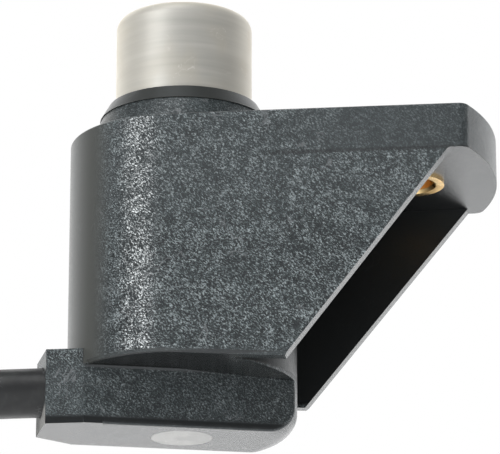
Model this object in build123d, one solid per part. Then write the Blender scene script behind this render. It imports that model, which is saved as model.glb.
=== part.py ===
from build123d import *
import math
import os

# Camshaft position sensor on a moulded bracket, with its lead and plug.
# Millimetres. +Z runs along the sensing nose and points up. The origin lies on the nose
# axis in the seating face. +X runs towards the screw hole.

# Sensing nose
nose_diameter = 18.0
nose_height = 17.9
nose_edge_round = 1.5
cap_wall = 0.5
cap_seat_depth = 14.0
cap_seat_diameter = 17.4
cap_seat_taper = 0.3

# Collar between the nose and the seating face
collar_height = 5.45
collar_rim_diameter = 19.9
collar_rim_round = 0.8
collar_band_height = 3.55
collar_band_diameter = 22.1
collar_band_proud = 0.15
collar_foot_diameter = 24.0

# Boss, bracket arm and the two walls
boss_diameter = 29.7
boss_depth = 31.5
plate_thickness = 5.9
wall_thickness = 2.1
arm_reach = 41.1
arm_end_radius = 35.0
arm_corner_round = 1.4
arm_far_taper = 2.3
body_edge_round = 0.25
rim_chamfer = 0.45
slant_top_x = 35.6
slant_top_far_x = 36.8
slant_foot_x = 14.8
wall_foot_drop = 0.9
plate_wall_fillet = 0.8

# Bar across the bottom and the block that the lead leaves by
bar_width = 12.0
bar_angle = 17.0
bar_bottom_depth = 39.1
bar_edge_round = 3.2
bar_root_fillet = 0.4
bar_front_edge_round = 0.5
bar_square_x = -8.9
block_front_y = -9.65
block_near_x = -16.15
block_height = 9.7
block_end_angle = 18.6
block_far_x = -14.6
block_end_share = 0.62
block_back_step = 1.1

# Screw bushing
bushing_x = 29.6
bushing_y = -0.6
bushing_diameter = 9.4
bushing_bore = 6.5
bushing_proud = 0.35
bushing_chamfer = 0.4
bushing_groove_depth = 0.5
bushing_groove_width = 1.2

# Plug that closes the filling hole
plug_diameter = 7.9
plug_length = 3.0
plug_chamfer = 0.3

# Coil, core and magnet inside the nose
core_diameter = 5.0
core_head_diameter = 8.0
core_head_thickness = 1.2
core_tip_gap = 0.2
bobbin_hub_wall = 0.8
bobbin_flange_thickness = 1.0
bobbin_flange_gap = 0.6
bobbin_foot_height = 8.0
bobbin_bottom_depth = 13.0
winding_gap = 0.6
magnet_diameter = 9.0
magnet_chamfer = 0.2
back_plate_diameter = 12.0
back_plate_thickness = 1.5

# Filled space below the coil
chamber_diameter = 17.0
chamber_depth = 29.5
well_diameter = 9.0

# Contact strips and insulated cores
strip_width = 1.4
strip_thickness = 0.5
strip_pitch = 2.6
strip_bottom_depth = 25.0
strip_bury = 2.5
core_wire_diameter = 1.3
core_wire_pitch = 1.55
core_wire_step = 0.8
core_lap = 2.0
core_bend_radius = 1.6
core_turn_height = 5.7
core_strip_gap = 0.5

# Lead
cable_diameter = 6.4
cable_y = -6.1
cable_axis_above_bottom = 4.9
cable_stub_x = -15.2
cable_strip_x = -10.8
coil_mid_diameter = 70.4
coil_turns = 2
coil_centre_x = -71.0
coil_corner_share = 0.42

# Plug on the lead
shell_length = 22.0
shell_width = 17.0
shell_height = 11.0
shell_wall = 1.4
shell_edge_round = 1.2
shell_neck_length = 7.0
shell_neck_back = 2.0
shell_neck_wall = 1.0
lead_in_plug = 5.0
shell_neck_diameter = 10.6
nose_block_gap = 1.3
nose_block_length = 13.0
contact_pitch = 4.2
contact_slot = 2.2
contact_length = 11.0
contact_wall = 0.3
contact_setback = 0.8
contact_tail_lap = 1.0
latch_length = 12.0
latch_width = 5.0
latch_thickness = 1.2
latch_gap = 1.0
latch_setback = 1.0
latch_root_length = 2.0
lock_half_length = 1.2
lock_setback = 3.0
lock_side_inset = 1.0
lock_proud = 0.2
gasket_thickness = 0.9
gasket_length = 2.4
grommet_stop = 1.0
grommet_rib_height = 0.35
grommet_rib_pitch = 2.2
grommet_rib_count = 3
key_rib_width = 1.6
key_rib_height = 0.9
key_rib_offset = 5.3
key_rib_start = 2.0

# Running clearances
fit_clearance = 0.03
slide_clearance = 0.1
tunnel_clearance = 0.2

# Cutting solids run past the faces by this much, and joined solids lap by half of it
overshoot = 1.0
overlap = 0.5

# Edges are picked by their radius and height within this much
match_tolerance = 0.01

nose_radius = nose_diameter / 2
boss_radius = boss_diameter / 2
cap_inner_radius = nose_radius - cap_wall
seat_inner_radius = cap_seat_diameter / 2 - cap_wall
cable_z = cable_axis_above_bottom - bar_bottom_depth
flange_radius = cap_inner_radius - fit_clearance - nose_edge_round
foot_radius = seat_inner_radius - fit_clearance
bobbin_top = nose_height - cap_wall - bobbin_flange_gap
foot_top = bobbin_foot_height - bobbin_bottom_depth


def cylinder_between(radius, z_low, z_high, x=0.0, y=0.0):
    """Upright round bar between two heights."""
    body = Cylinder(radius, z_high - z_low, align=(Align.CENTER, Align.CENTER, Align.MIN))
    return body.moved(Location((x, y, z_low)))


def block_between(x0, x1, y0, y1, z0, z1):
    """Upright block between two corners."""
    body = Box(x1 - x0, y1 - y0, z1 - z0, align=(Align.MIN, Align.MIN, Align.MIN))
    return body.moved(Location((x0, y0, z0)))


def arm_outline():
    """Plan of the boss and arm: a round boss, a straight near side, a far side that draws in
    towards the end, and a curved end."""
    taper = math.radians(arm_far_taper)
    end_centre = arm_reach - arm_end_radius
    near_x = end_centre + math.sqrt(arm_end_radius ** 2 - boss_radius ** 2)
    off = boss_radius - end_centre * math.sin(taper)
    along = math.sqrt(arm_end_radius ** 2 - off ** 2)
    far_corner = (end_centre + off * math.sin(taper) + along * math.cos(taper),
                  off * math.cos(taper) - along * math.sin(taper))
    far_start = (boss_radius * math.sin(taper), boss_radius * math.cos(taper))
    with BuildSketch() as plan:
        with BuildLine():
            Line((0, -boss_radius), (near_x, -boss_radius))
            ThreePointArc((near_x, -boss_radius), (arm_reach, 0), far_corner)
            Line(far_corner, far_start)
            ThreePointArc(far_start, (-boss_radius, 0), (0, -boss_radius))
        make_face()
        fillet(plan.vertices().group_by(Axis.X)[-2:], arm_corner_round)
    return plan.sketch


def pocket_outline():
    """Plan of the open space between the walls."""
    inner_half = boss_radius - wall_thickness
    taper = math.radians(arm_far_taper)
    end = arm_reach + overshoot
    with BuildSketch() as plan:
        with BuildLine():
            Polyline(
                (0, -inner_half), (end, -inner_half),
                (end, inner_half / math.cos(taper) - end * math.tan(taper)),
                (0, inner_half / math.cos(taper)), (0, -inner_half),
            )
        make_face()
    return plan.sketch


def side_profile(top_x):
    """Side view of the bracket: plate, slanted wall edge and the foot of the walls."""
    left = -boss_radius - overshoot
    right = arm_reach + overshoot
    foot = -boss_depth - wall_foot_drop
    with BuildSketch(Plane.XZ) as side:
        with BuildLine():
            Polyline(
                (left, 0), (right, 0), (right, -plate_thickness), (top_x, -plate_thickness),
                (slant_foot_x, foot), (0, -boss_depth), (left, -boss_depth), (left, 0),
            )
        make_face()
        corner = side.vertices().sort_by_distance(Vector(top_x, 0, -plate_thickness))[0]
        fillet(corner, plate_wall_fillet)
    return side.sketch


def bracket():
    """Plate, boss and the two thin walls, with the space between the walls left open."""
    low = -boss_depth - wall_foot_drop - overshoot
    reach = boss_radius + overshoot
    near_side = extrude(side_profile(slant_top_x), reach)
    far_side = extrude(side_profile(slant_top_far_x), -reach)
    body = extrude(arm_outline(), low) & (near_side + far_side)
    pocket = extrude(pocket_outline().moved(Location((0, 0, -plate_thickness))), low)
    boss = cylinder_between(boss_radius, low - plate_thickness - overshoot, overshoot)
    return body - (pocket - boss)


def bar_section():
    """Cross-section of the bar, with a hollow fillet on each side where it meets the boss."""
    half = bar_width / 2
    flare = half + bar_root_fillet
    root = -boss_depth - bar_root_fillet
    bulge = bar_root_fillet * (1 - math.sqrt(0.5))
    with BuildSketch(Plane.YZ) as section:
        with BuildLine():
            Polyline((half, root), (half, -bar_bottom_depth), (-half, -bar_bottom_depth), (-half, root))
            ThreePointArc((-half, root), (-half - bulge, root + bar_root_fillet - bulge),
                          (-flare, -boss_depth))
            Polyline((-flare, -boss_depth), (-flare, -boss_depth + overlap),
                     (flare, -boss_depth + overlap), (flare, -boss_depth))
            ThreePointArc((flare, -boss_depth), (half + bulge, root + bar_root_fillet - bulge),
                          (half, root))
        make_face()
    return section.sketch


def bar_slab():
    """Slab across the bottom, turned about the nose axis and trimmed round by the boss."""
    slab = extrude(bar_section(), boss_radius * 2, both=True).rotate(Axis.Z, bar_angle)
    drum = cylinder_between(boss_radius, -bar_bottom_depth, -boss_depth + overlap)
    round_drum = fillet(drum.edges().sort_by(Axis.Z)[0], bar_edge_round)
    reach = boss_radius + overshoot
    square_end = block_between(
        -reach, bar_square_x, -reach, reach, -bar_bottom_depth - overshoot, -boss_depth + overshoot
    )
    slab = slab & ((round_drum - square_end) + (drum & square_end))
    ends = slab.edges().filter_by(Axis.Z).sort_by(Axis.X)[-2:]
    return fillet(ends, bar_front_edge_round)


def cable_block():
    """Block on the bar's left end. Its front is square to Y and its end face slants."""
    turn = math.radians(bar_angle)
    back_y = (bar_width / 2 + block_far_x * math.sin(turn)) / math.cos(turn)
    corner_y = block_front_y + (back_y - block_front_y) * block_end_share
    slant = (corner_y - block_front_y) * math.tan(math.radians(block_end_angle))
    root_x = -math.sqrt(boss_radius ** 2 - block_front_y ** 2) + overlap / 2
    with BuildSketch(Plane.XY.offset(-bar_bottom_depth)) as plan:
        with BuildLine():
            Polyline(
                (block_near_x, block_front_y), (root_x, block_front_y),
                (root_x / 2, block_front_y / 3), (root_x, back_y + block_back_step),
                (block_far_x, back_y), (block_near_x - slant, corner_y),
                (block_near_x, block_front_y),
            )
        make_face()
    return extrude(plan.sketch, block_height)


def collar():
    """Cone with a smooth band round its top, which carries the nose cap."""
    rim = collar_rim_diameter / 2
    band = collar_band_diameter / 2
    foot = collar_foot_diameter / 2
    with BuildSketch(Plane.XZ) as half:
        with BuildLine():
            Polyline(
                (0, -overshoot), (foot, -overshoot), (foot, 0),
                (band - collar_band_proud, collar_band_height), (band, collar_band_height),
                (rim, collar_height), (0, collar_height), (0, -overshoot),
            )
        make_face()
        corner = half.vertices().sort_by_distance(Vector(rim, 0, collar_height))[0]
        fillet(corner, collar_rim_round)
    return revolve(half.sketch, Axis.Z)


def make_housing():
    """Moulded body with the seats for everything that it holds."""
    body = bracket()
    top_edges = body.edges().filter_by(
        lambda e: abs(e.center().Z) < 1e-6 and e.bounding_box().size.Z < 1e-6
    )
    body = fillet(top_edges, body_edge_round)
    rim_edges = body.edges().filter_by(GeomType.CIRCLE).filter_by(
        lambda e: abs(e.center().Z + boss_depth) < match_tolerance
        and abs(e.radius - boss_radius) < match_tolerance
    )
    if rim_edges:
        body = chamfer(rim_edges, rim_chamfer)
    body = body + bar_slab() + cable_block() + collar()
    for cut in housing_cuts():
        body = body - cut
    return body


def housing_cuts():
    """Bore for the cap, filled chamber, filling hole, lead hole and bushing hole."""
    cap_hole = cap_outside(fit_clearance)
    chamber = cylinder_between(chamber_diameter / 2, -chamber_depth, -cap_seat_depth + overlap)
    well_top = -chamber_depth + overlap
    well = cylinder_between(well_diameter / 2, -bar_bottom_depth + plug_length, well_top)
    hole = cylinder_between(
        plug_diameter / 2 + fit_clearance, -bar_bottom_depth - overshoot,
        -bar_bottom_depth + plug_length + slide_clearance,
    )
    bush = cylinder_between(
        bushing_diameter / 2, -plate_thickness - overshoot, overshoot, x=bushing_x, y=bushing_y
    ) - bushing_ring_cut()
    return [cap_hole, chamber, well, hole, bush, lead_hole(), core_tunnel()]


def bushing_ring_cut():
    """Ring that fills the bushing's holding groove."""
    low = -plate_thickness / 2 - bushing_groove_width / 2
    high = low + bushing_groove_width
    radius = bushing_diameter / 2
    outer = cylinder_between(radius + overshoot, low, high, x=bushing_x, y=bushing_y)
    inner = cylinder_between(
        radius - bushing_groove_depth, low - overshoot, high + overshoot,
        x=bushing_x, y=bushing_y,
    )
    return outer - inner


def lead_hole():
    """Hole in the block that grips the lead."""
    hole = Cylinder(cable_diameter / 2 + fit_clearance, boss_diameter + cable_strip_x,
                    align=(Align.CENTER, Align.CENTER, Align.MAX))
    hole = hole.rotate(Axis.Y, 90)
    return hole.moved(Location((cable_strip_x, cable_y, cable_z)))


def core_tunnel():
    """Passage for the insulated cores, from the lead to the well."""
    start = Vector(cable_strip_x - core_wire_diameter, cable_y, cable_z)
    end = Vector(0, 0, cable_z)
    tunnel_radius = core_wire_pitch + core_wire_diameter / 2 + tunnel_clearance
    passage = Cylinder(tunnel_radius, (end - start).length,
                       align=(Align.CENTER, Align.CENTER, Align.MIN))
    return Plane(origin=start, z_dir=end - start).location * passage


def cap_outside(gap=0.0):
    """Outer shape of the nose cap, or its seat when a gap is given. The seated part is drawn
    in, so that the moulding holds it and the free part keeps the full diameter."""
    seat = cap_seat_diameter / 2 + gap
    free = nose_radius + gap
    with BuildSketch(Plane.XZ) as half:
        with BuildLine():
            Polyline(
                (0, -cap_seat_depth), (seat, -cap_seat_depth),
                (seat, collar_height - cap_seat_taper), (free, collar_height),
                (free, nose_height), (0, nose_height), (0, -cap_seat_depth),
            )
        make_face()
    return revolve(half.sketch, Axis.Z)


def make_nose_cap():
    """Drawn metal cup over the coil."""
    cup = cap_outside()
    cup = fillet(cup.edges().sort_by(Axis.Z)[-1], nose_edge_round)
    wide_low = collar_height + cap_seat_taper
    wide = cylinder_between(cap_inner_radius, wide_low, nose_height - cap_wall)
    wide = fillet(wide.edges().sort_by(Axis.Z)[-1], nose_edge_round - cap_wall)
    narrow = cylinder_between(seat_inner_radius, -cap_seat_depth - overshoot, wide_low + overlap)
    return cup - wide - narrow


def make_pole_core():
    """Soft iron core, with a head that rests on the magnet."""
    tip = nose_height - cap_wall - core_tip_gap
    pin = cylinder_between(core_diameter / 2, foot_top, tip)
    head = cylinder_between(
        core_head_diameter / 2, foot_top - core_head_thickness, foot_top
    )
    return pin + head


def make_bobbin():
    """Bobbin with two flanges and a foot that holds the magnet."""
    hub = core_diameter / 2 + fit_clearance
    foot_bottom = -bobbin_bottom_depth
    head_bottom = foot_top - core_head_thickness
    barrel = cylinder_between(hub + bobbin_hub_wall, foot_top, bobbin_top)
    upper = cylinder_between(flange_radius, bobbin_top - bobbin_flange_thickness, bobbin_top)
    foot = cylinder_between(foot_radius, foot_bottom, foot_top + bobbin_flange_thickness)
    body = barrel + upper + foot
    body = body - cylinder_between(hub, foot_bottom - overshoot, bobbin_top + overshoot)
    body = body - cylinder_between(
        core_head_diameter / 2 + fit_clearance, head_bottom - slide_clearance, foot_top
    )
    body = body - cylinder_between(
        magnet_diameter / 2 + fit_clearance, foot_bottom - overshoot, head_bottom
    )
    body = body - cylinder_between(
        back_plate_diameter / 2 + fit_clearance, foot_bottom - overshoot,
        foot_bottom + back_plate_thickness,
    )
    for x in strip_rows():
        body = body - strip_solid(x, fit_clearance)
    return body


def make_winding():
    """Copper winding between the flanges."""
    inner = core_diameter / 2 + fit_clearance + bobbin_hub_wall
    outer = flange_radius - winding_gap
    low = foot_top + bobbin_flange_thickness
    high = bobbin_top - bobbin_flange_thickness
    hollow = cylinder_between(inner, low - overshoot, high + overshoot)
    return cylinder_between(outer, low, high) - hollow


def make_magnet():
    """Magnet between the core's head and the back plate."""
    top = foot_top - core_head_thickness
    bottom = -bobbin_bottom_depth + back_plate_thickness
    body = cylinder_between(magnet_diameter / 2, bottom, top)
    return chamfer(body.edges().filter_by(GeomType.CIRCLE), magnet_chamfer)


def make_back_plate():
    """Steel disc behind the magnet."""
    low = -bobbin_bottom_depth
    return cylinder_between(back_plate_diameter / 2, low, low + back_plate_thickness)


def strip_rows():
    """Places of the contact strips across the foot."""
    return [(i - 1) * strip_pitch for i in range(3)]


def strip_y():
    """The strips stand in the foot's outer wall, clear of the back plate."""
    return -(back_plate_diameter / 2 + foot_radius) / 2


def strip_solid(x, gap=0.0):
    """One upright contact strip, or its slot when a gap is given."""
    y = strip_y()
    low = -strip_bottom_depth
    high = -bobbin_bottom_depth + strip_bury
    return block_between(
        x - strip_width / 2 - gap, x + strip_width / 2 + gap,
        y - strip_thickness / 2 - gap, y + strip_thickness / 2 + gap, low - gap, high + gap,
    )


def core_wire(x, index):
    """Insulated core from the lead's end, along the well and up to its strip."""
    radius = core_wire_diameter / 2
    along = Vector(-cable_strip_x, -cable_y, 0).normalized()
    across = Vector(-along.Y, along.X, 0)
    offset = across * ((1 - index) * core_wire_pitch)
    start = Vector(cable_stub_x, cable_y + offset.Y, cable_z)
    bend = Vector(cable_strip_x - core_wire_diameter, cable_y, cable_z) + offset
    foot = Vector(0, 0, cable_z) + offset
    lower = Vector(foot.X, foot.Y, cable_z + core_turn_height + (1 - index) * core_wire_step)
    strip_face = strip_y() + strip_thickness / 2 + radius
    upper = Vector(x, strip_face, -strip_bottom_depth - core_strip_gap)
    end = Vector(x, strip_face, -strip_bottom_depth + core_lap)
    route = FilletPolyline(start, bend, foot, lower, upper, end, radius=core_bend_radius)
    return sweep(Plane(origin=route @ 0, z_dir=route % 0) * Circle(radius), path=route)


def make_resin(solids):
    """Resin that fills the chamber around the strips and cores."""
    body = cylinder_between(
        chamber_diameter / 2, -chamber_depth, -cap_seat_depth
    ) + cylinder_between(
        seat_inner_radius, -cap_seat_depth, -bobbin_bottom_depth
    ) + cylinder_between(
        well_diameter / 2, -bar_bottom_depth + plug_length, -chamber_depth
    )
    for solid in solids:
        body = body - solid
    return body


def make_bushing():
    """Brass bushing with a holding groove, standing proud of the plate below."""
    low = -plate_thickness - bushing_proud
    body = cylinder_between(bushing_diameter / 2, low, 0, x=bushing_x, y=bushing_y)
    body = body - bushing_ring_cut()
    body = body - cylinder_between(
        bushing_bore / 2, low - overshoot, overshoot, x=bushing_x, y=bushing_y
    )
    mouths = body.edges().filter_by(GeomType.CIRCLE).filter_by(
        lambda e: abs(e.radius - bushing_bore / 2) < match_tolerance
    )
    return chamfer(mouths, bushing_chamfer)


def make_filler_plug():
    """Flush round plug in the filling hole."""
    low = -bar_bottom_depth
    body = cylinder_between(plug_diameter / 2, low, low + plug_length)
    return chamfer(body.edges().filter_by(GeomType.CIRCLE).sort_by(Axis.Z)[-1], plug_chamfer)


def make_lead_stub(wires):
    """End of the lead's sheath inside the block, round its cores."""
    body = Cylinder(cable_diameter / 2, cable_strip_x - cable_stub_x,
                    align=(Align.CENTER, Align.CENTER, Align.MIN)).rotate(Axis.Y, 90)
    body = body.moved(Location((cable_stub_x, cable_y, cable_z)))
    for wire in wires:
        body = body - wire
    return body


# Route of the lead. It leaves the block level, drops to the surface and runs into the coil,
# which turns away from the sensor. At the end of the coil's upper turn it climbs over that
# turn to the plug, which lies on the coil in front. The points are chosen by hand.
surface_z = -bar_bottom_depth
coil_centre_y = cable_y + coil_mid_diameter / 2
lead_route = [
    (-15.2, -6.1, -34.2),
    (-32.5, -6.1, -34.2),
    (-52.0, -6.3, -35.6),
    (-71.0, -6.1, -35.9),
]
tail_route = [
    (-35.4, 22.8, -29.2),
    (-39.7, 11.0, -27.6),
    (-47.7, 1.4, -25.0),
    (-58.6, -4.9, -22.4),
    (-71.0, -7.1, -20.8),
    (-83.2, -4.9, -20.8),
]


def corner_radii(points):
    """Largest arcs that the runs allow: 0.45 of the shorter run over the half turn's tangent."""
    radii = []
    for a, b, c in zip(points, points[1:], points[2:]):
        first = Vector(*b) - Vector(*a)
        second = Vector(*c) - Vector(*b)
        half_turn = math.radians(first.get_angle(second)) / 2
        radii.append(0.45 * min(first.length, second.length) / math.tan(half_turn))
    return radii


def make_tube(points):
    """Plain round tube along straight runs and tangent arcs."""
    radii = corner_radii(points)
    route = FilletPolyline(*points, radius=radii)
    tube = sweep(Plane(origin=route @ 0, z_dir=route % 0) * Circle(cable_diameter / 2), path=route)
    section = math.pi * (cable_diameter / 2) ** 2
    print("tube radii", [round(r) for r in radii], "length", round(route.length, 1),
          "volume over section times length", round(tube.volume / (section * route.length), 4))
    return tube


def trim(tube, coil):
    """The tube up to where it meets the coil."""
    return (tube - coil).solids().sort_by(SortBy.VOLUME)[-1]


def make_coil():
    """Outer shape of the coiled length: stacked turns as one ring."""
    mid = coil_mid_diameter / 2
    height = cable_diameter * coil_turns
    with BuildSketch(Plane.XZ) as section:
        with Locations((mid, surface_z + height / 2)):
            Rectangle(cable_diameter, height)
        fillet(section.vertices(), cable_diameter * coil_corner_share)
    ring = revolve(section.sketch, Axis.Z)
    return ring.moved(Location((coil_centre_x, coil_centre_y, 0)))


def plug_frame():
    """Frame of the plug on the lead: its own +X points away from the lead."""
    end = Vector(*tail_route[-1])
    way = (end - Vector(*tail_route[-2])).normalized()
    coil_top = surface_z + coil_turns * cable_diameter
    origin = Vector(end.X, end.Y, coil_top + shell_height / 2) - way * lead_in_plug
    return Plane(origin=origin, x_dir=way, z_dir=(0, 0, 1)).location


def contact_rows():
    """Places of the three contacts across the plug."""
    return [(i - 1) * contact_pitch for i in range(3)]


def tube_along_x(radius, x0, x1):
    """Round bar on the plug's axis."""
    body = Cylinder(radius, x1 - x0, align=(Align.CENTER, Align.CENTER, Align.MIN))
    return body.rotate(Axis.Y, 90).moved(Location((x0, 0, 0)))


def shell_inside():
    """Space between the shell's skirt and the contact block."""
    end = shell_neck_length + shell_length
    start = end - nose_block_length
    half_w = shell_width / 2 - shell_wall
    half_h = shell_height / 2 - shell_wall
    block_w = half_w - nose_block_gap
    block_h = half_h - nose_block_gap
    space = block_between(start, end + overshoot, -half_w, half_w, -half_h, half_h)
    block = block_between(
        start - overshoot, end + 2 * overshoot, -block_w, block_w, -block_h, block_h
    )
    return space - block


def make_shell():
    """Plug shell: neck, body, skirt round the contact block, key ribs and latch."""
    x0 = shell_neck_length
    x1 = shell_neck_length + shell_length
    top = shell_height / 2
    neck = tube_along_x(shell_neck_diameter / 2, -shell_neck_back, x0 + overshoot)
    body = block_between(x0, x1, -shell_width / 2, shell_width / 2, -top, top)
    body = fillet(body.edges().filter_by(Axis.X), shell_edge_round) + neck
    for side in (-1, 1):
        middle = side * key_rib_offset
        body = body + block_between(
            x0 + key_rib_start, x1, middle - key_rib_width / 2, middle + key_rib_width / 2,
            top - overlap, top + key_rib_height,
        )
    body = body - shell_inside()
    seal_bore = cable_diameter / 2 + grommet_wall() + fit_clearance
    body = body - tube_along_x(seal_bore, -shell_neck_back - overshoot, grommet_length())
    slot_half = contact_slot / 2
    for y in contact_rows():
        body = body - block_between(
            grommet_length() - overlap, x1 + overshoot, y - slot_half, y + slot_half,
            -slot_half, slot_half,
        )
    body = body - lock_solid(slide_clearance)
    return body + latch()


def grommet_wall():
    """Wall of the rubber grommet on the lead, over its ribs."""
    return (shell_neck_diameter - cable_diameter) / 2 - shell_neck_wall


def grommet_length():
    """Where the grommet ends inside the neck."""
    return shell_neck_length - grommet_stop


def make_grommet():
    """Ribbed rubber grommet between the lead and the plug's neck."""
    inner = cable_diameter / 2 + fit_clearance
    crest = cable_diameter / 2 + grommet_wall()
    root = crest - grommet_rib_height
    middle = (grommet_length() - shell_neck_back) / 2
    body = tube_along_x(root, -shell_neck_back, grommet_length())
    for i in range(grommet_rib_count):
        x = middle + (i - (grommet_rib_count - 1) / 2) * grommet_rib_pitch
        rib = tube_along_x(crest, x - grommet_rib_height, x + grommet_rib_height)
        body = body + rib
    return body - tube_along_x(inner, -shell_neck_back - overshoot, grommet_length() + overshoot)


def make_contact(y):
    """Folded receptacle: a square sleeve with a crimped tail."""
    half = contact_slot / 2 - fit_clearance
    x1 = shell_neck_length + shell_length - contact_setback
    x0 = x1 - contact_length
    hollow = half - contact_wall
    sleeve = block_between(x0, x1, y - half, y + half, -half, half)
    sleeve = sleeve - block_between(
        x0 - overshoot, x1 + overshoot, y - hollow, y + hollow, -hollow, hollow
    )
    tail = block_between(grommet_length(), x0 + contact_tail_lap, y - half, y + half,
                         -half, -half + contact_wall)
    return sleeve + tail


def make_gasket():
    """Rubber ring round the contact block, at the bottom of the skirt."""
    start = shell_neck_length + shell_length - nose_block_length
    end = start + gasket_length
    half_w = shell_width / 2 - shell_wall - nose_block_gap
    half_h = shell_height / 2 - shell_wall - nose_block_gap
    wide = gasket_thickness
    outer = block_between(start, end, -half_w - wide, half_w + wide, -half_h - wide, half_h + wide)
    inner = block_between(start - overshoot, end + overshoot, -half_w, half_w, -half_h, half_h)
    return outer - inner


def lock_solid(gap=0.0):
    """Cross bar that locks the contacts, or its slot when a gap is given."""
    x = shell_neck_length + shell_length - nose_block_length - lock_setback
    side = shell_width / 2 - lock_side_inset + gap
    half = lock_half_length + gap
    return block_between(
        x - half, x + half, -side, side, contact_slot / 2, shell_height / 2 + lock_proud + gap
    )


def latch():
    """Spring latch on top of the plug: a root and an arm."""
    x0 = shell_neck_length + latch_setback
    top = shell_height / 2
    half = latch_width / 2
    root = block_between(x0, x0 + latch_root_length, -half, half, top, top + latch_gap)
    arm = block_between(
        x0, x0 + latch_length, -half, half, top + latch_gap, top + latch_gap + latch_thickness
    )
    return root + arm


def build():
    """Every piece of the sensor by the name of its node."""
    strips = {f"contact_strip_{i + 1}": strip_solid(x) for i, x in enumerate(strip_rows())}
    wires = {f"insulated_core_{i + 1}": core_wire(x, i) for i, x in enumerate(strip_rows())}
    pieces = {
        "housing": make_housing(),
        "nose_cap": make_nose_cap(),
        "pole_core": make_pole_core(),
        "coil_bobbin": make_bobbin(),
        "coil_winding": make_winding(),
        "magnet": make_magnet(),
        "back_plate": make_back_plate(),
    }
    pieces.update(strips)
    pieces.update(wires)
    fillings = list(strips.values()) + list(wires.values())
    pieces["filling_resin"] = make_resin(fillings)
    pieces["screw_bushing"] = make_bushing()
    pieces["filler_plug"] = make_filler_plug()
    pieces["lead_stub"] = make_lead_stub(wires.values())
    coil = make_coil()
    pieces["lead_tube"] = trim(make_tube(lead_route), coil)
    pieces["lead_coil"] = coil
    pieces["lead_tail"] = trim(make_tube(tail_route), coil)
    place = plug_frame()
    pieces["plug_shell"] = place * make_shell()
    pieces["plug_grommet"] = place * make_grommet()
    pieces["plug_gasket"] = place * make_gasket()
    pieces["plug_lock"] = place * lock_solid()
    for i, y in enumerate(contact_rows()):
        pieces[f"plug_contact_{i + 1}"] = place * make_contact(y)
    return pieces


os.makedirs("parts", exist_ok=True)
for name, piece in build().items():
    export_step(piece, f"parts/{name}.step")
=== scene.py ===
import math

import bpy
import bmesh
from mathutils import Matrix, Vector


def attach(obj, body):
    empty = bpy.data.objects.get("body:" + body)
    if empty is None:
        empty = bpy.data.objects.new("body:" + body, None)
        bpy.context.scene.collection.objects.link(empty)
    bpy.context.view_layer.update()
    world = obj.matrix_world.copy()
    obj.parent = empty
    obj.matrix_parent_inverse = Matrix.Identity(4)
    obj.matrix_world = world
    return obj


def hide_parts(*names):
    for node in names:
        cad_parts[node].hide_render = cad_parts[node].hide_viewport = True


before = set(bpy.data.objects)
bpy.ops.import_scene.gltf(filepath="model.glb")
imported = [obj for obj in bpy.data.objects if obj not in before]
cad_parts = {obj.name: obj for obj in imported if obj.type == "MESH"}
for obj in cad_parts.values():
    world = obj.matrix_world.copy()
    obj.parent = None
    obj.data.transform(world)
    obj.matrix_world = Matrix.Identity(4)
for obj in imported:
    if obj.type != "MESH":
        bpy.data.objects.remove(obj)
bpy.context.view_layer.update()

bl_info = {
    "name": "Camshaft position sensor",
    "version": (1, 0, 0),
    "blender": (4, 5, 0),
    "location": "3D View > Sidebar > Sensor",
    "description": "Dresses the camshaft sensor: lead, tie, moulding marks, finishes and stage",
    "category": "Object",
}

# Height of the surface that the sensor and its coil stand on. All places are in metres.
SURFACE_Z = -0.0391

# The lead's route: out of the block to the coil, and from the coil to the plug.
LEAD_ROUTE = [
    (-0.0152, -0.0061, -0.0342),
    (-0.0325, -0.0061, -0.0342),
    (-0.0520, -0.0063, -0.0356),
    (-0.0710, -0.0061, -0.0359),
]
TAIL_ROUTE = [
    (-0.0354, 0.0228, -0.0292),
    (-0.0397, 0.0110, -0.0276),
    (-0.0477, 0.0014, -0.0250),
    (-0.0586, -0.0049, -0.0224),
    (-0.0710, -0.0071, -0.0208),
    (-0.0832, -0.0049, -0.0208),
]

# The coil between them: the steps of its sweep, where the lead climbs on to the first turn, and
# how far the turns stray from a true circle.
COIL_STEPS = 29
CLIMB_START, CLIMB_END = math.radians(298), math.radians(348)
COIL_SLACK = 0.0006

# The strap round the coil: its room round the lead and its wall, how near its points lie to the
# middle's height to count as level with it, and its buckle and free end, which stand out from it.
STRAP_GAP, STRAP_WALL = 0.0003, 0.0006
LEVEL_TOLERANCE = 1e-5
BUCKLE_OUT, BUCKLE_DEPTH, BUCKLE_HEIGHT = 0.0012, 0.0026, 0.0052
BUCKLE_RIM, BUCKLE_SUNK = 0.0008, 0.0006
FREE_END_OUT, FREE_END_RISE, FREE_END_DEPTH, FREE_END_HEIGHT = 0.0029, 0.0016, 0.0006, 0.0085

# Zones of the moulding. Each is the product of its ramps, and a ramp goes from 0 to 1 between two
# values of x, of z, of the distance to either side of the middle plane, of the distance from the
# nose's axis, or of one part of the face's direction.
ZONES = {
    "Band": (("z", 0.00345, 0.00360),),
    "Collar": (("z", 0.0, 0.0004),),
    "Upper": (("z", -0.020, -0.007), ("z", 0.0005, 0.0)),
    "Plate": (("z", -0.0061, -0.0057), ("x", 0.012, 0.024), ("z", 0.0002, 0.0)),
    "Line": (("z", -0.0062, -0.0060), ("z", -0.0055, -0.0058), ("x", 0.010, 0.016)),
    # The boss's smooth left side, which takes a painted reflection of the white surroundings.
    "Left": (("x", -0.0070, -0.0108), ("from_axis", 0.01500, 0.01490), ("z", -0.0316, -0.0313)),
    "Bar": (("z", -0.0310, -0.0316),),
    # Bottom strip of the front faces, which takes a painted shadow line along the lower edge.
    "Foot Shadow": (("z", -0.0378, -0.0384), ("faces_y", -0.6, -0.8)),
    # Lower part of the block's end face, painted pale as a reflection of the white surroundings.
    "End": (("faces_x", -0.8, -0.9), ("z", -0.0362, -0.0370)),
    "Under": (("faces_z", -0.4, -0.6),),
}
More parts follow.
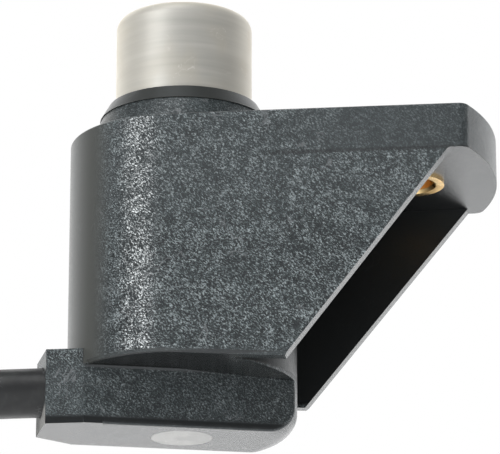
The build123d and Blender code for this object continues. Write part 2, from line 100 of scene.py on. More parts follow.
# The pocket between the walls under the ear plate, and the groove over the bar: recesses that take a
# painted shade together.
POCKET = (("to_side", 0.01295, 0.01285), ("z", -0.0056, -0.0059), ("x", 0.006, 0.010),
          ("z", -0.0322, -0.0316), ("x", 0.0400, 0.0370))
GROOVE = (("z", -0.0313, -0.0314), ("z", -0.0320, -0.0319), ("faces_z", -0.1, -0.3))

# How much of the grain each zone is without, and how much it takes of which colour: the moulding's own
# tones, a painted shadow line and painted shade, and painted reflections.
SMOOTHNESS = {"Band": 1.0, "Under": 0.85, "Inside": 0.9, "Plate": 0.62, "Left": 1.0, "Bar": 0.4,
              "Collar": 0.6, "Foot Shadow": 0.9}
ZONE_TONES_AND_PAINTED_LIGHT = (
    ("Band", 0.8, (0.026, 0.027, 0.025)),
    ("Upper", 0.2, (0.078, 0.089, 0.093)),
    ("Plate", 0.25, (0.025, 0.027, 0.028)),
    ("Line", 0.7, (0.008, 0.008, 0.008)),
    # Painted shadow line along the front's foot, and painted shade in the pocket and groove.
    ("Foot Shadow", 0.98, (0.001, 0.001, 0.001)),
    ("Inside", 0.9, (0.009, 0.009, 0.009)),
    # Painted reflections of the white surroundings on the boss's smooth left side and the block's
    # lower end face.
    ("Left", 0.8, (0.068, 0.069, 0.063)),
    ("End", 0.9, (0.37, 0.37, 0.355)),
)

# Colours that wear and the grain bring out, some of them painted light: the grain's peaks take a
# painted glint and its pits a painted shade.
GRAIN_PEAK_GLINT = (0.46, 0.545, 0.565)
GRAIN_PIT_SHADE = (0.003, 0.0035, 0.004)
BODY_RUB = (0.22, 0.23, 0.24)
UNDERSIDE_STAIN = (0.12, 0.12, 0.115)
NOSE_STAIN = (0.42, 0.385, 0.31)
NOSE_RUB = (0.74, 0.74, 0.73)
# Painted warm reflection along the nose's edges.
NOSE_EDGE_REFLECTION = (0.92, 0.86, 0.73)
BRASS_TARNISH = (0.68, 0.44, 0.18)
SHEATH_WORN = (0.034, 0.037, 0.037)
SHEATH_RUB = (0.16, 0.165, 0.17)
SHEATH_SPECK = (0.2, 0.2, 0.2)
# Painted shade in the gaps between the winding's turns and a painted highlight on their crowns.
WIRE_GAP_SHADE = (0.30, 0.10, 0.04)
WIRE_CROWN_HIGHLIGHT = (0.72, 0.30, 0.14)

# Width of the camera's picture, to which the lens is set.
SENSOR_WIDTH_MM = 36.0

# The soft square lamps, each with its place, side and power, and the point that they face.
LAMPS = (
    ("lamp_above", (-0.10, -0.35, 0.55), 0.40, 1.4),
    ("lamp_left", (-0.42, -0.53, 0.20), 0.36, 2.0),
)
LAMP_AIM = (0.0, 0.0, -0.01)

# Strengths of the white surroundings as a light, to the camera and in reflections, which see them
# darker in front, from the first to the second value, and lighter behind. The floor's colour, its
# strength in reflections and its distance below the sensor.
SURROUNDING_LIGHT = 0.62
SEEN_WHITE = 1.0
MIRRORED_FRONT = (0.38, 0.22)
MIRRORED_BACK = 1.35
FLOOR_WHITE = (0.86, 0.86, 0.86)
FLOOR_MIRRORED = 1.65
FLOOR_CLEARANCE = 0.00002


class LeadSettings(bpy.types.PropertyGroup):
    diameter: bpy.props.FloatProperty(
        name="Lead diameter", description="Outside diameter of the sheath",
        default=0.0064, min=0.002, max=0.012, unit="LENGTH")
    length: bpy.props.FloatProperty(
        name="Lead length", description="Real length from the block to the plug",
        default=0.51, min=0.1, max=3.0, unit="LENGTH")
    coil_radius: bpy.props.FloatProperty(
        name="Coil radius", description="From the coil's centre to the middle of the lead",
        default=0.0352, min=0.02, max=0.1, unit="LENGTH")
    coil_centre_x: bpy.props.FloatProperty(
        name="Coil centre X", description="Where the coil lies, to the left of the sensor",
        default=-0.071, unit="LENGTH")
    coil_sweep: bpy.props.FloatProperty(
        name="Coil sweep", description="How far the lead turns in the coil",
        default=math.radians(640), subtype="ANGLE")
    tie_width: bpy.props.FloatProperty(
        name="Tie width", description="Width of the strap that holds the coil",
        default=0.005, min=0.002, max=0.02, unit="LENGTH")
    tie_angle: bpy.props.FloatProperty(
        name="Tie angle", description="Where the strap sits, counted to the left from the coil's back",
        default=math.radians(45), subtype="ANGLE")
    sheath_colour: bpy.props.FloatVectorProperty(
        name="Sheath colour", description="Colour of the lead's sheath",
        default=(0.006, 0.007, 0.008), size=3, subtype="COLOR", min=0, max=1)


class BodySettings(bpy.types.PropertyGroup):
    colour: bpy.props.FloatVectorProperty(
        name="Body colour", description="Colour of the moulded body",
        default=(0.0175, 0.023, 0.0245), size=3, subtype="COLOR", min=0, max=1)
    grain_size: bpy.props.FloatProperty(
        name="Grain size", description="Size of the eroded grain on the body",
        default=0.00021, min=0.0001, max=0.002, unit="LENGTH", precision=5)
    nose_colour: bpy.props.FloatVectorProperty(
        name="Nose colour", description="Colour of the satin metal nose",
        default=(0.455, 0.45, 0.42), size=3, subtype="COLOR", min=0, max=1)
    brass_colour: bpy.props.FloatVectorProperty(
        name="Brass colour", description="Colour of the screw bushing",
        default=(0.86, 0.62, 0.30), size=3, subtype="COLOR", min=0, max=1)


class StageSettings(bpy.types.PropertyGroup):
    azimuth: bpy.props.FloatProperty(
        name="Camera azimuth", description="How far the camera stands to the right of the front",
        default=math.radians(6.2666), subtype="ANGLE")
    elevation: bpy.props.FloatProperty(
        name="Camera elevation", description="Below the level when negative",
        default=math.radians(-17.4146), subtype="ANGLE")
    position: bpy.props.FloatVectorProperty(
        name="Camera position", description="Where the camera stands",
        default=(0.0542138, -0.4133997, -0.1414180), size=3, subtype="TRANSLATION", precision=6)
    lens: bpy.props.FloatProperty(
        name="Lens", description="Focal length for a sensor 36 mm wide",
        default=240.175, min=10, max=400)
    floor_radius: bpy.props.FloatProperty(
        name="Floor radius", description="Radius of the pale floor",
        default=0.9, min=0.2, max=4.0, unit="LENGTH")


def deselect_all():
    """Leaves nothing selected, because operators act on all that is selected."""
    bpy.ops.object.select_all(action="DESELECT")


def apply_modifiers(piece):
    """Applies every modifier on a piece in order."""
    bpy.context.view_layer.objects.active = piece
    for modifier in list(piece.modifiers):
        bpy.ops.object.modifier_apply(modifier=modifier.name)


def round_edges(piece, width, segments):
    """Rounds a piece's edges with a modifier that is applied later."""
    edges = piece.modifiers.new("edges", "BEVEL")
    edges.width = width
    edges.segments = segments


def settle(piece):
    """Puts a finished piece's place into its mesh, so that its object is at the origin."""
    deselect_all()
    piece.select_set(True)
    bpy.context.view_layer.objects.active = piece
    bpy.ops.object.transform_apply(location=True, rotation=True, scale=True)


def give(piece, material):
    """Puts one material on a piece, in place of what it had."""
    piece.data.materials.clear()
    piece.data.materials.append(material)


def shade(colour, factor):
    """Lighter or darker shade of a colour."""
    return tuple(min(1.0, factor * part) for part in colour)


def feed(tree, value, target):
    """Gives a node's input a number, a colour or the value of a socket."""
    if isinstance(value, (int, float)):
        target.default_value = value
    elif isinstance(value, tuple):
        target.default_value = (*value, 1.0)
    else:
        tree.links.new(value, target)


def new_group(name, numbers, masks):
    """Empty shader node group that reads a vector and numbers and puts out masks."""
    tree = bpy.data.node_groups.new(name, "ShaderNodeTree")
    new_socket = tree.interface.new_socket
    new_socket(name="Vector", in_out="INPUT", socket_type="NodeSocketVector")
    for number, default in numbers.items():
        made = new_socket(name=number, in_out="INPUT", socket_type="NodeSocketFloat")
        made.default_value = default
    for mask in masks:
        new_socket(name=mask, in_out="OUTPUT", socket_type="NodeSocketFloat")
    return tree, tree.nodes.new("NodeGroupInput").outputs, tree.nodes.new("NodeGroupOutput").inputs


def place_group(tree, group, vector, **values):
    """Puts a node group into a material with its own values, and gives its outputs."""
    node = tree.nodes.new("ShaderNodeGroup")
    node.node_tree = group
    tree.links.new(vector, node.inputs["Vector"])
    for name, value in values.items():
        node.inputs[name.replace("_", " ")].default_value = value
    return node.outputs


def noise(tree, vector, scale, detail=2.0, roughness=0.5, distortion=0.0):
    """Noise on a vector."""
    node = tree.nodes.new("ShaderNodeTexNoise")
    tree.links.new(vector, node.inputs["Vector"])
    for name, value in (("Scale", scale), ("Detail", detail), ("Roughness", roughness),
                        ("Distortion", distortion)):
        feed(tree, value, node.inputs[name])
    return node.outputs["Fac"]


def mapped(tree, vector, scale, kind="POINT", turn=0.0):
    """Vector scaled along its axes, and turned about the Y axis."""
    node = tree.nodes.new("ShaderNodeMapping")
    node.vector_type = kind
    node.inputs["Rotation"].default_value = (0.0, turn, 0.0)
    node.inputs["Scale"].default_value = scale
    tree.links.new(vector, node.inputs["Vector"])
    return node.outputs["Vector"]


def parts_of(tree, vector):
    """The three parts of a vector."""
    node = tree.nodes.new("ShaderNodeSeparateXYZ")
    tree.links.new(vector, node.inputs[0])
    return tuple(node.outputs)


def calculate(tree, operation, *values):
    """Math node on sockets and numbers."""
    node = tree.nodes.new("ShaderNodeMath")
    node.operation = operation
    for target, value in zip(node.inputs, values):
        feed(tree, value, target)
    return node.outputs[0]


def product(tree, first, *others):
    """Product of sockets and numbers."""
    for other in others:
        first = calculate(tree, "MULTIPLY", first, other)
    return first


def greatest(tree, first, *others):
    """Greatest of sockets and numbers."""
    for other in others:
        first = calculate(tree, "MAXIMUM", first, other)
    return first


def scaled(tree, value, factor, plus):
    """Value times a factor, plus a number or another value."""
    return calculate(tree, "MULTIPLY_ADD", value, factor, plus)


def ramp(tree, value, low, high, to_low=0.0, to_high=1.0):
    """Smooth map of a value from one range to another."""
    node = tree.nodes.new("ShaderNodeMapRange")
    node.interpolation_type = "SMOOTHSTEP"
    for name, number in (("Value", value), ("From Min", low), ("From Max", high),
                         ("To Min", to_low), ("To Max", to_high)):
        feed(tree, number, node.inputs[name])
    return node.outputs["Result"]


def mix_colour(tree, factor, first, second):
    """Mix of two colours, each a socket or three numbers."""
    node = tree.nodes.new("ShaderNodeMix")
    node.data_type = "RGBA"
    tree.links.new(factor, node.inputs["Factor"])
    colour_inputs = [item for item in node.inputs if item.type == "RGBA"]
    for target, colour in zip(colour_inputs, (first, second)):
        feed(tree, colour, target)
    return next(item for item in node.outputs if item.type == "RGBA")


def mix_shaders(tree, factor, first, second):
    """Mix of two shader nodes."""
    node = tree.nodes.new("ShaderNodeMixShader")
    for target, value in zip(node.inputs, (factor, first.outputs[0], second.outputs[0])):
        tree.links.new(value, target)
    return node


def layered(tree, colour, *layers):
    """Colour with others laid over it, each by its own mask."""
    for mask, over in layers:
        colour = mix_colour(tree, mask, colour, over)
    return colour


def bump(tree, shader, height, strength, distance):
    """Feeds a height to the shader's normal through a Bump node."""
    node = tree.nodes.new("ShaderNodeBump")
    node.inputs["Strength"].default_value = strength
    node.inputs["Distance"].default_value = distance
    tree.links.new(height, node.inputs["Height"])
    tree.links.new(node.outputs["Normal"], shader.inputs["Normal"])


def eroded_grain_group():
    """Fine grain of a spark-eroded mould: a height, and masks of its peaks and its pits, where the
    body paints a glint and a shade. Its strokes are longer along one slant, over a broader grain, and
    the peaks gather in clumps."""
    tree, given, out = new_group("eroded_grain", {"Grain Scale": 3000.0, "Peak Level": 0.55},
                                 ("Height", "Peaks", "Pits"))
    vector, scale, level = given["Vector"], given["Grain Scale"], given["Peak Level"]
    strokes = mapped(tree, vector, (1.35, 0.9, 0.68), kind="TEXTURE", turn=math.radians(40))
    fine = noise(tree, strokes, scale, detail=3.0, roughness=0.72, distortion=0.5)
    broad = noise(tree, vector, product(tree, scale, 0.36))
    height = scaled(tree, broad, 0.5, fine)
    clumps = noise(tree, vector, product(tree, scale, 0.11), roughness=0.6)
    low = calculate(tree, "ADD", level, scaled(tree, clumps, -0.18, 0.09))
    tree.links.new(height, out["Height"])
    tree.links.new(ramp(tree, fine, low, calculate(tree, "ADD", low, 0.25)), out["Peaks"])
    tree.links.new(ramp(tree, height, 0.80, 0.66), out["Pits"])
    return tree


def scuff_group():
    """Thin light rubs along the lines of a noise, in the spots of another, and soft stains."""
    tree, given, out = new_group("scuffs", {"Rub Scale": 300.0, "Rub Amount": 0.3},
                                 ("Rubs", "Stains"))
    vector, scale, amount = given["Vector"], given["Rub Scale"], given["Rub Amount"]
    lines = noise(tree, vector, scale, distortion=1.2)
    off_line = calculate(tree, "ABSOLUTE", calculate(tree, "SUBTRACT", lines, 0.5))
    thin = ramp(tree, off_line, 0.018, 0.004)
    spots = noise(tree, vector, product(tree, scale, 0.7), detail=1.0)
    low = calculate(tree, "SUBTRACT", 0.75, product(tree, amount, 0.35))
    here = ramp(tree, spots, low, calculate(tree, "ADD", low, 0.08))
    soft = noise(tree, vector, product(tree, scale, 0.35))
    tree.links.new(product(tree, thin, here), out["Rubs"])
    tree.links.new(ramp(tree, soft, 0.42, 0.68), out["Stains"])
    return tree


def zones_group():
    """A mask for each zone of the moulding, and one for the pocket and the groove together, which take
    a painted shade.
    """
    tree, given, out = new_group("moulding_zones", {}, (*ZONES, "Inside"))
    x, y, z = parts_of(tree, given["Vector"])
    geometry = tree.nodes.new("ShaderNodeNewGeometry")
    faces_x, faces_y, faces_z = parts_of(tree, geometry.outputs["True Normal"])
    from_axis = calculate(tree, "SQRT", scaled(tree, x, x, product(tree, y, y)))
    measures = {"x": x, "z": z, "to_side": calculate(tree, "ABSOLUTE", y), "from_axis": from_axis,
                "faces_x": faces_x, "faces_y": faces_y, "faces_z": faces_z}

    def mask(ramps):
        return product(tree, *(ramp(tree, measures[name], low, high) for name, low, high in ramps))

    for zone, ramps in ZONES.items():
        tree.links.new(mask(ramps), out[zone])
    # The pocket and the groove share one mask, for their painted shade.
    tree.links.new(greatest(tree, mask(POCKET), mask(GROOVE)), out["Inside"])
    return tree


def new_material(name, metallic=0.0, specular=0.5):
    """Material with one Principled BSDF and its object coordinates."""
    material = bpy.data.materials.new(name)
    material.use_nodes = True
    tree = material.node_tree
    shader = tree.nodes["Principled BSDF"]
    shader.inputs["Metallic"].default_value = metallic
    shader.inputs["Specular IOR Level"].default_value = specular
    return material, tree, shader, tree.nodes.new("ShaderNodeTexCoord").outputs["Object"]


def body_material(settings, groups):
    """Black-grey glass-filled plastic with an eroded grain that its zones lose in part. The grain's
    peaks are glossier and take a painted glint, its pits a painted shade, and some zones take painted
    shade or painted reflections."""
    material, tree, shader, place = new_material("body_plastic", specular=0.45)
    grain = place_group(tree, groups["grain"], place, Grain_Scale=1.0 / settings.grain_size,
                        Peak_Level=0.488)
    scuffs = place_group(tree, groups["scuffs"], place, Rub_Scale=260.0, Rub_Amount=0.5)
    zones = place_group(tree, groups["zones"], place)
    smooth = greatest(tree, *(product(tree, zones[zone], share)
                              for zone, share in SMOOTHNESS.items()))
    coarse = calculate(tree, "SUBTRACT", 1.0, smooth)
    pits = product(tree, grain["Pits"], coarse, 0.9)
    peaks = product(tree, grain["Peaks"], coarse, 0.9)
    rubs = product(tree, scuffs["Rubs"], 0.4)
    stains = product(tree, zones["Under"], scuffs["Stains"], 0.4)
    patches = ramp(tree, noise(tree, place, 130.0, detail=3.0, roughness=0.6), 0.32, 0.7)
    colour = mix_colour(tree, patches, shade(settings.colour, 0.75), shade(settings.colour, 1.25))
    # The grain's pits take a painted shade and its peaks a painted glint; the rubs and stains are
    # wear.
    colour = layered(tree, colour, (pits, GRAIN_PIT_SHADE), (peaks, GRAIN_PEAK_GLINT), (rubs, BODY_RUB),
                     (stains, UNDERSIDE_STAIN))
    # Zone colours, among them the painted shadow line at the front's foot, the painted shade in the
    # pocket and groove, and the painted reflections on the boss's left side and the block's end face.
    colour = layered(tree, colour, *((product(tree, zones[zone], share), over)
                                     for zone, share, over in ZONE_TONES_AND_PAINTED_LIGHT))
    rough = scaled(tree, grain["Height"], 0.14, 0.24)
    rough = scaled(tree, zones["Foot Shadow"], 0.5, rough)
    rough = scaled(tree, zones["Under"], -0.14, rough)
    tree.links.new(colour, shader.inputs["Base Color"])
    tree.links.new(rough, shader.inputs["Roughness"])
    tree.links.new(peaks, shader.inputs["Coat Weight"])
    shader.inputs["Coat Roughness"].default_value = 0.24
    shader.inputs["Coat IOR"].default_value = 2.9
    shader.inputs["Specular Tint"].default_value = (0.88, 0.96, 1.0, 1.0)
    relief = product(tree, grain["Height"], scaled(tree, coarse, 0.94, 0.06))
    bump(tree, shader, relief, strength=0.9, distance=0.00018)
    return material


def nose_material(settings, groups):
    """Satin drawn metal with faint turning lines, soft stains, small scuffs and a painted warm
    reflection along its edges.
    """
    material, tree, shader, place = new_material("nose_metal", metallic=0.35)
    scuffs = place_group(tree, groups["scuffs"], place, Rub_Scale=520.0, Rub_Amount=0.45)
    lines = noise(tree, mapped(tree, place, (60.0, 60.0, 5200.0)), 1.0, detail=3.0, roughness=0.6)
    rings = noise(tree, mapped(tree, place, (45.0, 45.0, 750.0)), 1.0, roughness=0.6)
    # Painted warm reflection at the edges, by the Layer Weight's facing.
    edge_reflection = tree.nodes.new("ShaderNodeLayerWeight")
    edge_reflection.inputs["Blend"].default_value = 0.3
    colour = mix_colour(tree, ramp(tree, rings, 0.3, 0.7), shade(settings.nose_colour, 0.80),
                        tuple(settings.nose_colour))
    colour = layered(tree, colour, (product(tree, scuffs["Stains"], 0.35), NOSE_STAIN),
                     (product(tree, scuffs["Rubs"], 0.3), NOSE_RUB),
                     (edge_reflection.outputs["Facing"], NOSE_EDGE_REFLECTION))
    tree.links.new(colour, shader.inputs["Base Color"])
    tree.links.new(scaled(tree, scuffs["Stains"], 0.08, 0.45), shader.inputs["Roughness"])
    bump(tree, shader, lines, strength=0.25, distance=0.00002)
    return material


def brass_material(settings, groups):
    """Turned brass, slightly tarnished."""
    material, tree, shader, place = new_material("turned_brass", metallic=1.0)
    scuffs = place_group(tree, groups["scuffs"], place, Rub_Scale=900.0, Rub_Amount=0.3)
    tarnish = noise(tree, place, 500.0, detail=3.0, roughness=0.6)
    colour = mix_colour(tree, ramp(tree, tarnish, 0.35, 0.7), tuple(settings.brass_colour),
                        BRASS_TARNISH)
    tree.links.new(colour, shader.inputs["Base Color"])
    tree.links.new(scaled(tree, scuffs["Stains"], 0.15, 0.24), shader.inputs["Roughness"])
    bump(tree, shader, tarnish, strength=0.15, distance=0.00004)
    return material


def sheath_material(settings, groups):
    """Matte black sheath with worn patches, light scuffs and a slight grain."""
    material, tree, shader, place = new_material("lead_sheath", specular=0.35)
    scuffs = place_group(tree, groups["scuffs"], place, Rub_Scale=330.0, Rub_Amount=0.72)
    grain = place_group(tree, groups["grain"], place, Grain_Scale=5200.0, Peak_Level=0.62)
    patches = noise(tree, place, 240.0, detail=3.0, roughness=0.6)
    worn = ramp(tree, patches, 0.40, 0.68, to_high=0.7)
    colour = mix_colour(tree, worn, tuple(settings.sheath_colour), SHEATH_WORN)
    colour = layered(tree, colour, (product(tree, scuffs["Rubs"], 0.45), SHEATH_RUB),
                     (product(tree, grain["Peaks"], 0.2), SHEATH_SPECK))
    tree.links.new(colour, shader.inputs["Base Color"])
    tree.links.new(scaled(tree, scuffs["Stains"], 0.16, 0.36), shader.inputs["Roughness"])
    bump(tree, shader, grain["Height"], strength=0.25, distance=0.00005)
    return material


def moulded_material(name, colour, roughness, groups, specular=0.5):
    """Moulded plastic or rubber with its own grain and a slight unevenness of colour."""
    material, tree, shader, place = new_material(name, specular=specular)
    grain = place_group(tree, groups["grain"], place, Grain_Scale=4200.0, Peak_Level=0.62)
    scuffs = place_group(tree, groups["scuffs"], place, Rub_Scale=600.0, Rub_Amount=0.3)
    rubbed = tuple(min(1.0, part + 0.12) for part in colour)
    tone = mix_colour(tree, scuffs["Stains"], shade(colour, 0.8), shade(colour, 1.15))
    tone = mix_colour(tree, product(tree, scuffs["Rubs"], 0.4), tone, rubbed)
    tree.links.new(tone, shader.inputs["Base Color"])
    tree.links.new(scaled(tree, grain["Height"], 0.12, roughness - 0.08), shader.inputs["Roughness"])
    bump(tree, shader, grain["Height"], strength=0.25, distance=0.00006)
    return material


def metal_material(name, colour, roughness, groups):
    """Plain metal of an inner part, with light stains."""
    material, tree, shader, place = new_material(name, metallic=1.0)
    shader.inputs["Roughness"].default_value = roughness
    scuffs = place_group(tree, groups["scuffs"], place, Rub_Scale=500.0, Rub_Amount=0.3)
    tone = mix_colour(tree, scuffs["Stains"], colour, shade(colour, 0.8))
    tree.links.new(tone, shader.inputs["Base Color"])
    return material


def winding_material():
    """Enamelled copper wire, its turns shown by fine ridges, with painted shade between the turns and
    a painted highlight on their crowns.
    """
    material, tree, shader, place = new_material("copper_winding", metallic=1.0)
    shader.inputs["Roughness"].default_value = 0.3
    turns = tree.nodes.new("ShaderNodeTexWave")
    turns.bands_direction = "Z"
    turns.inputs["Scale"].default_value = 1900.0
    tree.links.new(place, turns.inputs["Vector"])
    # Painted shade in the gaps between turns and a painted highlight on their crowns.
    tone = mix_colour(tree, turns.outputs["Fac"], WIRE_GAP_SHADE, WIRE_CROWN_HIGHLIGHT)
    tree.links.new(tone, shader.inputs["Base Color"])
    bump(tree, shader, turns.outputs["Fac"], strength=0.6, distance=0.00005)
    return material


class SENSOR_OT_camera(bpy.types.Operator):
    """Places the camera at the photograph's viewing angle"""
    bl_idname = "sensor.camera"
    bl_label = "Camera"

    def execute(self, context):
        stage = context.scene.sensor_stage
        data = bpy.data.cameras.new("camera")
        data.sensor_width = SENSOR_WIDTH_MM
        data.lens = stage.lens
        data.clip_start = 0.01
        camera = bpy.data.objects.new("camera", data)
        context.scene.collection.objects.link(camera)
        camera.location = stage.position
        camera.rotation_euler = (math.pi / 2 - stage.elevation, 0.0, stage.azimuth)
        context.scene.camera = camera
        return {"FINISHED"}


class SENSOR_OT_lead(bpy.types.Operator):
    """Lays the lead: straight out of the block, two turns of coil and on to the plug"""
    bl_idname = "sensor.lead"
    bl_label = "Lead"

    def execute(self, context):
        lead = context.scene.sensor_lead
        curve = bpy.data.curves.new("lead", "CURVE")
        curve.dimensions = "3D"
        curve.bevel_depth = 1.0  # each point's radius gives the lead its thickness
        curve.bevel_resolution = 6
        curve.resolution_u = 10
        curve.use_fill_caps = True
        spline = curve.splines.new("NURBS")
        points = LEAD_ROUTE + self.coil_points(lead) + TAIL_ROUTE
        spline.points.add(len(points) - 1)
        for point, place in zip(spline.points, points):
            point.co = (*place, 1.0)
            point.radius = lead.diameter / 2
        spline.order_u = 3
        spline.use_endpoint_u = True
        piece = bpy.data.objects.new("lead", curve)
        context.scene.collection.objects.link(piece)
        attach(piece, "root")
        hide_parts("lead_tube", "lead_coil", "lead_tail")
        return {"FINISHED"}

    def coil_points(self, lead):
        """Points of the coil's turns. The second turn lies on the first."""
        start_y, start_z = LEAD_ROUTE[-1][1:]
        centre_y = start_y + lead.coil_radius
        radius = lead.coil_radius / math.cos(lead.coil_sweep / COIL_STEPS / 2)
        made = []
        for step in range(1, COIL_STEPS):
            swept = lead.coil_sweep * step / COIL_STEPS
            angle = -math.pi / 2 - swept
            climbed = min(1.0, max(0.0, (swept - CLIMB_START) / (CLIMB_END - CLIMB_START)))
            rise = lead.diameter * climbed * climbed * (3 - 2 * climbed)
            reach = radius + COIL_SLACK * math.sin(1.7 * swept) * math.sin(swept / 2)
            made.append((lead.coil_centre_x + reach * math.cos(angle),
                         centre_y + reach * math.sin(angle), start_z + rise))
        return made


class SENSOR_OT_coil_tie(bpy.types.Operator):
    """Straps the coil's two turns together, at the back and to the left"""
    bl_idname = "sensor.coil_tie"
    bl_label = "Coil tie"

    def execute(self, context):
        lead = context.scene.sensor_lead
        centre_y = LEAD_ROUTE[-1][1] + lead.coil_radius
        middle = Vector((lead.coil_centre_x, centre_y + lead.coil_radius, SURFACE_Z + lead.diameter))
        half = lead.diameter / 2
        deselect_all()
        bpy.ops.mesh.primitive_cylinder_add(
            vertices=48, radius=half + STRAP_GAP, depth=lead.tie_width,
            end_fill_type="NOTHING", location=middle, rotation=(0, math.pi / 2, 0))
        piece = context.object
        piece.name = piece.data.name = "coil_tie"
        settle(piece)
        for vertex in piece.data.vertices:
            rise = vertex.co.z - middle.z
            if abs(rise) > LEVEL_TOLERANCE:
                vertex.co.z += math.copysign(half, rise)
        wall = piece.modifiers.new("wall", "SOLIDIFY")
        wall.thickness = STRAP_WALL
        wall.offset = -1.0
        round_edges(piece, width=0.00015, segments=2)
        apply_modifiers(piece)
        for vertex in piece.data.vertices:
            vertex.co.z = max(vertex.co.z, SURFACE_Z)
        self.add_buckle(context, piece, middle, lead, half + STRAP_GAP)
        turn = lead.tie_angle
        piece.rotation_euler.z = turn
        piece.location = (
            lead.coil_centre_x * (1 - math.cos(turn)) + centre_y * math.sin(turn),
            centre_y * (1 - math.cos(turn)) - lead.coil_centre_x * math.sin(turn), 0.0)
        settle(piece)
        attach(piece, "root")
        return {"FINISHED"}

    def add_buckle(self, context, strap, middle, lead, reach):
        """Small buckle and the strap's free end on the outer side of the coil."""
        deselect_all()
        bpy.ops.mesh.primitive_cube_add(
            size=1.0, location=(middle.x, middle.y + reach + BUCKLE_OUT, middle.z),
            scale=(lead.tie_width * 1.35, BUCKLE_DEPTH, BUCKLE_HEIGHT))
        buckle = context.object
        settle(buckle)
        bpy.ops.object.mode_set(mode="EDIT")
        bpy.ops.mesh.select_mode(type="FACE")
        bpy.ops.mesh.select_all(action="DESELECT")
        mesh = bmesh.from_edit_mesh(buckle.data)
        for face in mesh.faces:
            face.select = face.normal.y > 0.9
        bmesh.update_edit_mesh(buckle.data)
        bpy.ops.mesh.inset(thickness=BUCKLE_RIM)
        bpy.ops.mesh.extrude_region_move(TRANSFORM_OT_translate={"value": (0, -BUCKLE_SUNK, 0)})
        bpy.ops.object.mode_set(mode="OBJECT")
        round_edges(buckle, width=0.0004, segments=3)
        apply_modifiers(buckle)
        bpy.ops.mesh.primitive_cube_add(
            size=1.0, scale=(lead.tie_width, FREE_END_DEPTH, FREE_END_HEIGHT),
            location=(middle.x, middle.y + reach + FREE_END_OUT, middle.z + FREE_END_RISE))
        free_end = context.object
        settle(free_end)
        round_edges(free_end, width=0.00018, segments=2)
        apply_modifiers(free_end)
        deselect_all()
        for piece in (buckle, free_end, strap):
            piece.select_set(True)
        context.view_layer.objects.active = strap
        bpy.ops.object.join()
        bpy.ops.object.shade_smooth_by_angle(angle=math.radians(35))


class SENSOR_OT_finishes(bpy.types.Operator):
    """Gives every piece its material"""
    bl_idname = "sensor.finishes"
    bl_label = "Finishes"

    def execute(self, context):
        body = context.scene.sensor_body
        lead = context.scene.sensor_lead
        groups = {"grain": eroded_grain_group(), "scuffs": scuff_group(), "zones": zones_group()}
        sheath = sheath_material(lead, groups)
        contact = metal_material("tinned_contact", (0.70, 0.66, 0.56), 0.3, groups)
        steel = metal_material("machined_steel", (0.50, 0.50, 0.51), 0.35, groups)
        looks = {
            "housing": body_material(body, groups),
            "nose_cap": nose_material(body, groups),
            "screw_bushing": brass_material(body, groups),
            "filler_plug": moulded_material("filler_plastic", (0.72, 0.72, 0.70), 0.24, groups,
                                            specular=1.0),
            "lead_stub": sheath,
            "lead_tube": sheath,
            "lead_coil": sheath,
            "lead_tail": sheath,
            "plug_shell": moulded_material("plug_plastic", (0.03, 0.032, 0.034), 0.45, groups),
            "plug_grommet": moulded_material("grommet_rubber", (0.09, 0.09, 0.10), 0.65, groups),
            "plug_gasket": moulded_material("gasket_rubber", (0.42, 0.10, 0.06), 0.6, groups),
            "plug_lock": moulded_material("lock_plastic", (0.45, 0.47, 0.44), 0.45, groups),
            "coil_bobbin": moulded_material("bobbin_plastic", (0.55, 0.50, 0.40), 0.5, groups),
            "filling_resin": moulded_material("cast_resin", (0.05, 0.045, 0.04), 0.25, groups),
            "insulated_core_1": moulded_material("core_white", (0.80, 0.80, 0.77), 0.5, groups),
            "insulated_core_2": moulded_material("core_grey", (0.38, 0.40, 0.42), 0.5, groups),
            "insulated_core_3": moulded_material("core_black", (0.03, 0.03, 0.03), 0.5, groups),
            "coil_winding": winding_material(),
            "magnet": metal_material("sintered_magnet", (0.22, 0.22, 0.23), 0.5, groups),
            "pole_core": steel,
            "back_plate": steel,
        }
        for name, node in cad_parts.items():
            give(node, looks.get(name, contact))
        give(bpy.data.objects["lead"], sheath)
        give(bpy.data.objects["coil_tie"],
             moulded_material("tie_plastic", (0.02, 0.02, 0.021), 0.4, groups))
        return {"FINISHED"}


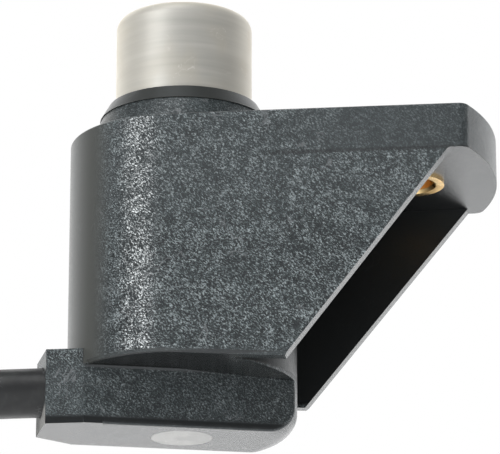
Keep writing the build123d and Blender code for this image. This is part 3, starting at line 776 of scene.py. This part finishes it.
class SENSOR_OT_stage(bpy.types.Operator):
    """Makes the pale floor, the soft lamps and the white surroundings"""
    bl_idname = "sensor.stage"
    bl_label = "Stage"

    def execute(self, context):
        stage = context.scene.sensor_stage
        self.add_floor(context, stage)
        for lamp in LAMPS:
            self.add_lamp(context, *lamp)
        self.set_world(context)
        context.scene.view_settings.view_transform = "Standard"
        return {"FINISHED"}

    def add_floor(self, context, stage):
        """Round pale floor, open to a camera below it and white to reflections."""
        deselect_all()
        bpy.ops.mesh.primitive_circle_add(
            vertices=96, radius=stage.floor_radius, fill_type="NGON",
            location=(0, 0, SURFACE_Z - FLOOR_CLEARANCE))
        floor = context.object
        floor.name = "floor"
        settle(floor)
        material = bpy.data.materials.new("floor_white")
        material.use_nodes = True
        tree = material.node_tree
        tree.nodes.clear()
        output = tree.nodes.new("ShaderNodeOutputMaterial")
        diffuse = tree.nodes.new("ShaderNodeBsdfDiffuse")
        diffuse.inputs["Color"].default_value = (*FLOOR_WHITE, 1.0)
        glow = tree.nodes.new("ShaderNodeEmission")
        glow.inputs["Strength"].default_value = FLOOR_MIRRORED
        clear = tree.nodes.new("ShaderNodeBsdfTransparent")
        path = tree.nodes.new("ShaderNodeLightPath")
        side = tree.nodes.new("ShaderNodeNewGeometry")
        top = mix_shaders(tree, path.outputs["Is Glossy Ray"], diffuse, glow)
        both = mix_shaders(tree, side.outputs["Backfacing"], top, clear)
        tree.links.new(both.outputs[0], output.inputs["Surface"])
        give(floor, material)

    def add_lamp(self, context, name, place, size, power):
        """Soft square lamp that faces the sensor."""
        data = bpy.data.lights.new(name, "AREA")
        data.size = size
        data.energy = power
        lamp = bpy.data.objects.new(name, data)
        context.scene.collection.objects.link(lamp)
        lamp.location = place
        way = Vector(LAMP_AIM) - Vector(place)
        lamp.rotation_euler = way.to_track_quat("-Z", "Y").to_euler()

    def set_world(self, context):
        """White to the camera, a little darker in front to reflections, softer as a light."""
        world = bpy.data.worlds.new("white_surroundings")
        context.scene.world = world
        world.use_nodes = True
        tree = world.node_tree
        tree.nodes.clear()
        output = tree.nodes.new("ShaderNodeOutputWorld")
        generated = tree.nodes.new("ShaderNodeTexCoord").outputs["Generated"]
        depth = parts_of(tree, generated)[1]
        front = ramp(tree, depth, -1.0, -0.2, *MIRRORED_FRONT)
        back = ramp(tree, depth, 0.0, 0.8, to_high=MIRRORED_BACK)
        light = self.add_background(tree, SURROUNDING_LIGHT)
        seen = self.add_background(tree, SEEN_WHITE)
        mirrored = self.add_background(tree, calculate(tree, "ADD", front, back))
        path = tree.nodes.new("ShaderNodeLightPath")
        sharp = greatest(tree, path.outputs["Is Glossy Ray"], path.outputs["Is Transmission Ray"])
        unseen = mix_shaders(tree, sharp, light, mirrored)
        both = mix_shaders(tree, path.outputs["Is Camera Ray"], unseen, seen)
        tree.links.new(both.outputs[0], output.inputs["Surface"])

    def add_background(self, tree, strength):
        """White background of a strength."""
        node = tree.nodes.new("ShaderNodeBackground")
        feed(tree, (1.0, 1.0, 1.0), node.inputs["Color"])
        feed(tree, strength, node.inputs["Strength"])
        return node


class SENSOR_PT_panel(bpy.types.Panel):
    """Sidebar panel with the sizes, the colours and a button for each piece"""
    bl_label = "Camshaft sensor"
    bl_idname = "SENSOR_PT_panel"
    bl_space_type = "VIEW_3D"
    bl_region_type = "UI"
    bl_category = "Sensor"

    def draw(self, context):
        scene = context.scene
        for settings in (scene.sensor_lead, scene.sensor_body, scene.sensor_stage):
            box = self.layout.box()
            for name in settings.__annotations__:
                box.prop(settings, name)
        for step in STEPS:
            self.layout.operator(step.bl_idname)


STEPS = (SENSOR_OT_camera, SENSOR_OT_lead, SENSOR_OT_coil_tie, SENSOR_OT_finishes, SENSOR_OT_stage)
CLASSES = (LeadSettings, BodySettings, StageSettings, *STEPS, SENSOR_PT_panel)


def register():
    for item in CLASSES:
        bpy.utils.register_class(item)
    bpy.types.Scene.sensor_lead = bpy.props.PointerProperty(type=LeadSettings)
    bpy.types.Scene.sensor_body = bpy.props.PointerProperty(type=BodySettings)
    bpy.types.Scene.sensor_stage = bpy.props.PointerProperty(type=StageSettings)


def unregister():
    del bpy.types.Scene.sensor_stage
    del bpy.types.Scene.sensor_body
    del bpy.types.Scene.sensor_lead
    for item in reversed(CLASSES):
        bpy.utils.unregister_class(item)


def main():
    register()
    deselect_all()
    bpy.ops.sensor.camera()
    bpy.ops.sensor.lead()
    bpy.ops.sensor.coil_tie()
    bpy.ops.sensor.finishes()
    bpy.ops.sensor.stage()
    bpy.context.view_layer.update()


if __name__ == "__main__":
    main()
